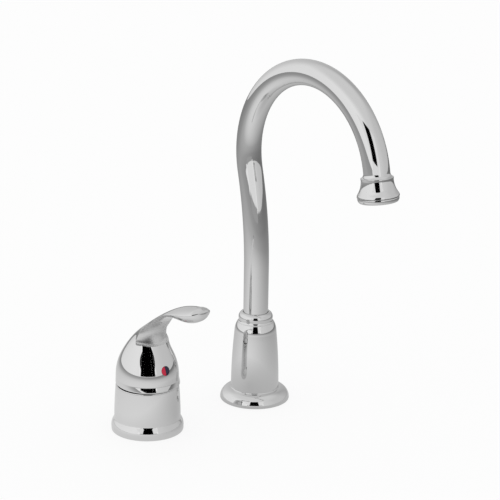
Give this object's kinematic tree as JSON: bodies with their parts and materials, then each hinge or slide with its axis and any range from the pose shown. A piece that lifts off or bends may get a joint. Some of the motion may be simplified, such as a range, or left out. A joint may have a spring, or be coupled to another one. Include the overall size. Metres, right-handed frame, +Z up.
{
  "type": "gooseneck bar faucet",
  "caption": "Chromed bar faucet: a tall swivelling gooseneck spout on a bell-shaped pedestal, with a separate single-lever mixing valve standing beside it.",
  "frame": {"origin": "the spout's swivel axis where it crosses the top of the counter, which is the underside of the spout's base gasket", "axes": "+Z up out of the counter, -Y the way the spout reaches and the lever points, towards the user, -X towards the mixing valve"},
  "size_m": [0.1825, 0.2034, 0.3748],
  "materials": {
    "chrome": "polished chrome plate on brass",
    "handle_chrome": "polished chrome plate on cast zinc",
    "brass": "machined, unplated",
    "zinc_steel": "pressed, zinc plated",
    "stainless": "bright stainless",
    "stainless_mesh": "woven stainless wire",
    "acetal_white": "moulded, satin",
    "acetal_grey": "moulded, satin",
    "cartridge_nylon": "moulded, satin",
    "red_plastic": "moulded, glossy",
    "blue_plastic": "moulded, glossy",
    "black_rubber": "moulded rubber"
  },
  "bodies": {
    "base": {"spout_pedestal": "chrome", "spout_collar": "chrome", "spout_shank": "brass", "spout_base_gasket": "black_rubber", "spout_deck_washer": "zinc_steel", "spout_mounting_nut": "brass", "lower_bearing_ring": "acetal_white", "upper_bearing_ring": "acetal_white", "valve_body": "brass", "valve_trim_sleeve": "chrome", "valve_base_gasket": "black_rubber", "valve_deck_washer": "zinc_steel", "valve_mounting_nut": "brass", "cartridge_shell": "cartridge_nylon", "cartridge_o_rings": "black_rubber", "cartridge_base_seal": "black_rubber", "cartridge_clip": "stainless", "pivot_washer": "acetal_white", "retainer_nut": "brass"},
    "spout": {"spout_tube": "chrome", "outlet_bell": "chrome", "aerator_housing": "chrome", "aerator_insert": "acetal_white", "aerator_screen": "stainless_mesh", "aerator_washer": "black_rubber", "spout_spigot": "brass", "spigot_o_rings": "black_rubber"},
    "pivot": {"pivot_ring": "acetal_grey", "pivot_pin": "stainless"},
    "lever": {"handle": "handle_chrome", "handle_carrier": "acetal_grey", "handle_set_screw": "stainless", "index_plug": "acetal_grey", "hot_inlay": "red_plastic", "cold_inlay": "blue_plastic"},
    "stem": {"cartridge_stem": "brass", "stem_o_rings": "black_rubber", "stem_adapter": "acetal_grey", "stem_screw": "stainless"}
  },
  "joints": [
    {"name": "spout_swivel", "type": "hinge", "parent": "base", "child": "spout", "pos_m": [0, 0, 0.0675], "axis": [0, 0, 1], "continuous": true},
    {"name": "handle_turn", "type": "hinge", "parent": "base", "child": "pivot", "pos_m": [-0.12, 0.002, 0.045], "axis": [0, 0, 1], "range_deg": [-50, 50]},
    {"name": "handle_lift", "type": "hinge", "parent": "pivot", "child": "lever", "pos_m": [-0.12, 0.022, 0.048], "axis": [-1, 0, 0], "range_deg": [0, 20]},
    {"name": "stem_lift", "type": "slide", "parent": "pivot", "child": "stem", "axis": [0, 0, 1], "range_m": [0, 0.008]}
  ],
  "couplings": [
    {"joint": "stem_lift", "follows": "handle_lift", "m_per_rad": 0.0225}
  ]
}
